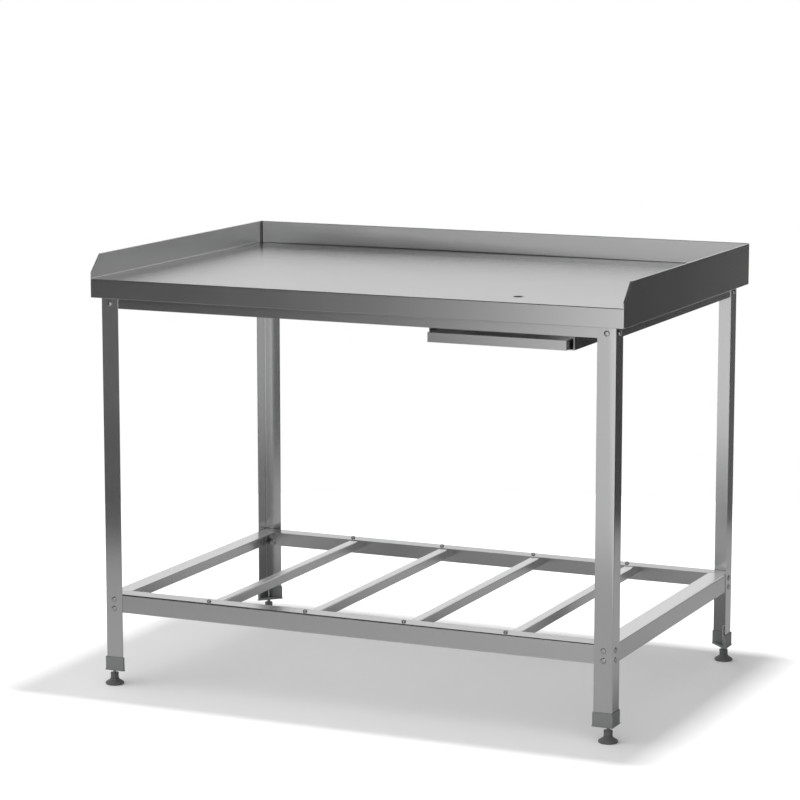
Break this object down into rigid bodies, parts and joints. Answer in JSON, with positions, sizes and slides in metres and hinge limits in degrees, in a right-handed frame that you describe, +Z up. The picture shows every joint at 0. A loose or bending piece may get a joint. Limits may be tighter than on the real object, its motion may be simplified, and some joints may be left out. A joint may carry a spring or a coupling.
{
  "type": "stainless work table",
  "caption": "Stainless steel kitchen work table with a three-sided upstand, drain hole, pull-out drip tray, open lower rack and levelling feet.",
  "frame": {"origin": "on the floor, at the middle of the table's width and depth", "axes": "+Z up, +X towards the table's right end, -Y towards the front, where the tray pulls out"},
  "size_m": [1.2, 0.8, 0.933],
  "materials": {
    "worktop_steel": "fine linear brush, satin",
    "frame_steel": "fine linear brush along each angle, satin",
    "rack_steel": "fine linear brush along each bar, satin",
    "tray_steel": "fine linear brush, satin",
    "bolt_steel": "turned, bright",
    "stud_steel": "rolled thread, zinc plated",
    "cap_plastic": "moulded, fine satin texture",
    "pad_plastic": "moulded, matte"
  },
  "bodies": {
    "frame": {"bolts_lower_back_left_back": "bolt_steel", "bolts_lower_back_left_side": "bolt_steel", "bolts_lower_back_right_back": "bolt_steel", "bolts_lower_back_right_side": "bolt_steel", "bolts_lower_front_left_front": "bolt_steel", "bolts_lower_front_left_side": "bolt_steel", "bolts_lower_front_right_front": "bolt_steel", "bolts_lower_front_right_side": "bolt_steel", "bolts_upper_back_left_back": "bolt_steel", "bolts_upper_back_left_side": "bolt_steel", "bolts_upper_back_right_back": "bolt_steel", "bolts_upper_back_right_side": "bolt_steel", "bolts_upper_front_left_front": "bolt_steel", "bolts_upper_front_left_side": "bolt_steel", "bolts_upper_front_right_front": "bolt_steel", "bolts_upper_front_right_side": "bolt_steel", "crossbar_1": "rack_steel", "crossbar_2": "rack_steel", "crossbar_3": "rack_steel", "crossbar_4": "rack_steel", "crossbar_bolt_1_back": "bolt_steel", "crossbar_bolt_1_front": "bolt_steel", "crossbar_bolt_2_back": "bolt_steel", "crossbar_bolt_2_front": "bolt_steel", "crossbar_bolt_3_back": "bolt_steel", "crossbar_bolt_3_front": "bolt_steel", "crossbar_bolt_4_back": "bolt_steel", "crossbar_bolt_4_front": "bolt_steel", "leg_back_left": "frame_steel", "leg_back_right": "frame_steel", "leg_cap_back_left": "cap_plastic", "leg_cap_back_right": "cap_plastic", "leg_cap_front_left": "cap_plastic", "leg_cap_front_right": "cap_plastic", "leg_front_left": "frame_steel", "leg_front_right": "frame_steel", "lower_rail_back": "frame_steel", "lower_rail_front": "frame_steel", "lower_rail_left": "frame_steel", "lower_rail_right": "frame_steel", "tray_guide_left": "frame_steel", "tray_guide_right": "frame_steel", "upper_rail_back": "frame_steel", "upper_rail_front": "frame_steel", "upper_rail_left": "frame_steel", "upper_rail_right": "frame_steel", "worktop": "worktop_steel", "worktop_stiffener_1": "frame_steel", "worktop_stiffener_2": "frame_steel", "worktop_stiffener_3": "frame_steel", "worktop_stiffener_4": "frame_steel"},
    "tray": {"drip_tray": "tray_steel"},
    "foot_pad_front_left": {"foot_pad_front_left": "pad_plastic"},
    "foot_stud_front_left": {"foot_stud_front_left": "stud_steel"},
    "foot_pad_front_right": {"foot_pad_front_right": "pad_plastic"},
    "foot_stud_front_right": {"foot_stud_front_right": "stud_steel"},
    "foot_pad_back_right": {"foot_pad_back_right": "pad_plastic"},
    "foot_stud_back_right": {"foot_stud_back_right": "stud_steel"},
    "foot_pad_back_left": {"foot_pad_back_left": "pad_plastic"},
    "foot_stud_back_left": {"foot_stud_back_left": "stud_steel"}
  },
  "joints": [
    {"name": "tray_slide", "type": "slide", "parent": "frame", "child": "tray", "axis": [0, -1, 0], "range_m": [0, 0.28]},
    {"name": "foot_level_front_left", "type": "slide", "parent": "frame", "child": "foot_pad_front_left", "axis": [0, 0, -1], "range_m": [-0.007, 0.01]},
    {"name": "foot_turn_front_left", "type": "hinge", "parent": "foot_pad_front_left", "child": "foot_stud_front_left", "pos_m": [-0.568, -0.376, 0.02], "axis": [0, 0, -1], "range_deg": [-2030, 2900]},
    {"name": "foot_level_front_right", "type": "slide", "parent": "frame", "child": "foot_pad_front_right", "axis": [0, 0, -1], "range_m": [-0.007, 0.01]},
    {"name": "foot_turn_front_right", "type": "hinge", "parent": "foot_pad_front_right", "child": "foot_stud_front_right", "pos_m": [0.568, -0.376, 0.02], "axis": [0, 0, -1], "range_deg": [-2030, 2900]},
    {"name": "foot_level_back_right", "type": "slide", "parent": "frame", "child": "foot_pad_back_right", "axis": [0, 0, -1], "range_m": [-0.007, 0.01]},
    {"name": "foot_turn_back_right", "type": "hinge", "parent": "foot_pad_back_right", "child": "foot_stud_back_right", "pos_m": [0.568, 0.364, 0.02], "axis": [0, 0, -1], "range_deg": [-2030, 2900]},
    {"name": "foot_level_back_left", "type": "slide", "parent": "frame", "child": "foot_pad_back_left", "axis": [0, 0, -1], "range_m": [-0.007, 0.01]},
    {"name": "foot_turn_back_left", "type": "hinge", "parent": "foot_pad_back_left", "child": "foot_stud_back_left", "pos_m": [-0.568, 0.364, 0.02], "axis": [0, 0, -1], "range_deg": [-2030, 2900]}
  ],
  "couplings": [
    {"joint": "foot_turn_front_left", "follows": "foot_level_front_left", "rad_per_m": 5026.5},
    {"joint": "foot_turn_front_right", "follows": "foot_level_front_right", "rad_per_m": 5026.5},
    {"joint": "foot_turn_back_right", "follows": "foot_level_back_right", "rad_per_m": 5026.5},
    {"joint": "foot_turn_back_left", "follows": "foot_level_back_left", "rad_per_m": 5026.5}
  ]
}
